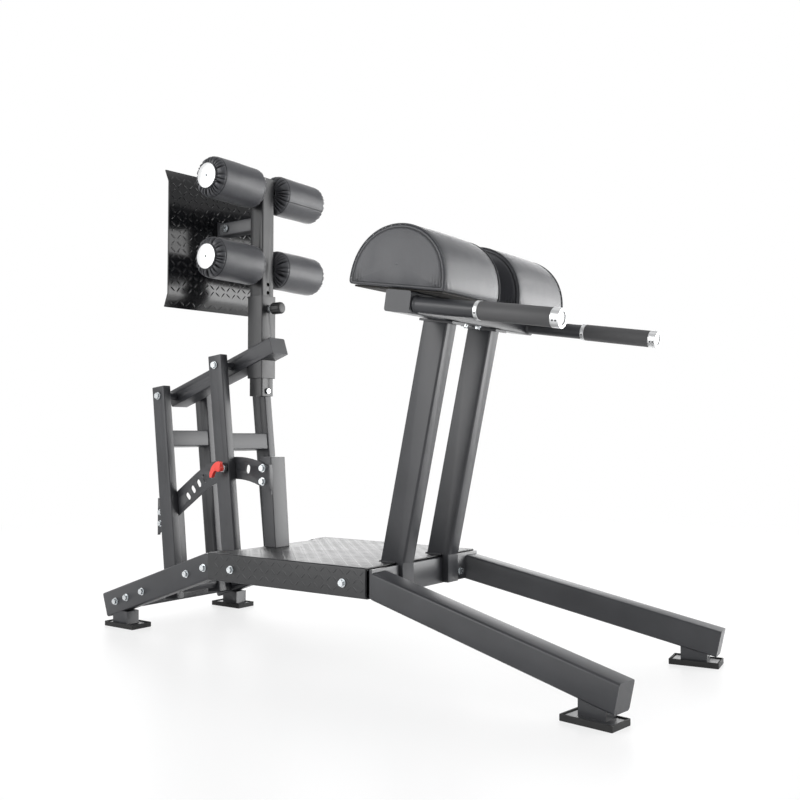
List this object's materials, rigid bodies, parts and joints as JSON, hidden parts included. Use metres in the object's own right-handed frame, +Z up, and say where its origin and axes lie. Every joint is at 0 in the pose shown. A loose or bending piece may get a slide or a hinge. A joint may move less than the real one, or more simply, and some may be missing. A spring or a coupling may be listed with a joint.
{
  "type": "glute ham developer",
  "caption": "Glute ham bench frame with half-round pads and handles, and a swinging, height-adjustable carrier of padded rollers and a foot plate.",
  "frame": {"origin": "on the floor, under the middle of the object's outline", "axes": "+Z up; +X from the foot plate towards the pads and handles, along the length; the frame is symmetric about Y = 0 apart from the arc plate, its posts and the lock"},
  "size_m": [1.6436, 0.6726, 1.3255],
  "materials": {
    "black_paint": "satin powder coat",
    "tread_paint": "gloss powder coat on tread plate",
    "zinc_steel": "bright zinc",
    "alloy": "polished",
    "rubber": "matte",
    "vinyl": "satin vinyl",
    "board": "painted board",
    "red_plastic": "gloss",
    "black_plastic": "matte"
  },
  "bodies": {
    "base": {"rear_leg_right": "black_paint", "rear_leg_left": "black_paint", "front_leg_right": "black_paint", "front_leg_left": "black_paint", "rubber_foot_rear_right": "rubber", "rubber_foot_rear_left": "rubber", "rubber_foot_front_right": "rubber", "rubber_foot_front_left": "rubber", "platform": "tread_paint", "rear_crossmember": "black_paint", "middle_crossmember": "black_paint", "front_crossmember": "black_paint", "front_pivot_shaft": "zinc_steel", "rear_pivot_shaft": "zinc_steel", "arc_plate": "black_paint", "front_arc_post": "black_paint", "rear_arc_post": "black_paint", "pad_post_right": "black_paint", "pad_post_left": "black_paint", "pad_beam": "black_paint", "pad_board_right": "board", "pad_board_left": "board", "pad_right": "vinyl", "pad_left": "vinyl", "handle_bar_right": "alloy", "handle_bar_left": "alloy", "handle_grip_right": "rubber", "handle_grip_left": "rubber"},
    "front_frame": {"front_upright_right": "black_paint", "front_upright_left": "black_paint", "front_crossbar": "black_paint", "front_bearing_tube": "black_paint", "lock_housing": "zinc_steel"},
    "rear_frame": {"rear_upright_right": "black_paint", "rear_upright_left": "black_paint", "rear_crossbar": "black_paint", "rear_bearing_tube": "black_paint"},
    "lever": {"lock_lever": "red_plastic"},
    "swing_pin": {"lock_pin": "zinc_steel"},
    "rail_carrier": {"rail": "black_paint", "front_top_pivot": "zinc_steel", "rear_top_pivot": "zinc_steel", "sleeve": "black_paint", "pin_barrel": "zinc_steel"},
    "knob": {"height_pin": "black_plastic"},
    "foot_carrier": {"roller_post": "black_paint", "stop_bolt": "zinc_steel", "lower_roller_axle": "zinc_steel", "upper_roller_axle": "zinc_steel", "foot_plate": "tread_paint", "foot_plate_bracket": "black_paint"},
    "roller_lower_right": {"lower_roller_right": "vinyl", "lower_roller_disc_right": "alloy"},
    "roller_lower_left": {"lower_roller_left": "vinyl", "lower_roller_disc_left": "alloy"},
    "roller_upper_right": {"upper_roller_right": "vinyl", "upper_roller_disc_right": "alloy"},
    "roller_upper_left": {"upper_roller_left": "vinyl", "upper_roller_disc_left": "alloy"}
  },
  "joints": [
    {"name": "front_swing", "type": "hinge", "parent": "base", "child": "front_frame", "pos_m": [-0.44521, 0, 0.1815], "axis": [0, 1, 0], "range_deg": [-43.4, 12.4]},
    {"name": "rear_swing", "type": "hinge", "parent": "base", "child": "rear_frame", "pos_m": [-0.68971, 0, 0.0985], "axis": [0, 1, 0], "range_deg": [-44, 17.5]},
    {"name": "rail_turn", "type": "hinge", "parent": "front_frame", "child": "rail_carrier", "pos_m": [-0.50925, 0, 0.75695], "axis": [0, 1, 0], "range_deg": [-17.5, 44]},
    {"name": "post_slide", "type": "slide", "parent": "rail_carrier", "child": "foot_carrier", "axis": [0, 0, 1], "range_m": [-0.072, 0.024]},
    {"name": "lock_turn", "type": "hinge", "parent": "front_frame", "child": "lever", "pos_m": [-0.46231, 0, 0.46098], "axis": [0, 1, 0], "range_deg": [0, 60]},
    {"name": "swing_pin_slide", "type": "slide", "parent": "front_frame", "child": "swing_pin", "axis": [0, 1, 0], "range_m": [0, 0.0112]},
    {"name": "height_pin_slide", "type": "slide", "parent": "rail_carrier", "child": "knob", "axis": [-1, 0, 0], "range_m": [0, 0.0065]},
    {"name": "spin_lower_right", "type": "hinge", "parent": "foot_carrier", "child": "roller_lower_right", "pos_m": [-0.41421, 0, 1.044], "axis": [0, 1, 0], "continuous": true},
    {"name": "spin_lower_left", "type": "hinge", "parent": "foot_carrier", "child": "roller_lower_left", "pos_m": [-0.41421, 0, 1.044], "axis": [0, 1, 0], "continuous": true},
    {"name": "spin_upper_right", "type": "hinge", "parent": "foot_carrier", "child": "roller_upper_right", "pos_m": [-0.41421, 0, 1.2676], "axis": [0, 1, 0], "continuous": true},
    {"name": "spin_upper_left", "type": "hinge", "parent": "foot_carrier", "child": "roller_upper_left", "pos_m": [-0.41421, 0, 1.2676], "axis": [0, 1, 0], "continuous": true}
  ],
  "couplings": [
    {"joint": "rear_swing", "follows": "front_swing", "ratio": 1},
    {"joint": "rail_turn", "follows": "front_swing", "ratio": -1},
    {"joint": "swing_pin_slide", "follows": "lock_turn", "m_per_rad": 0.0105}
  ]
}
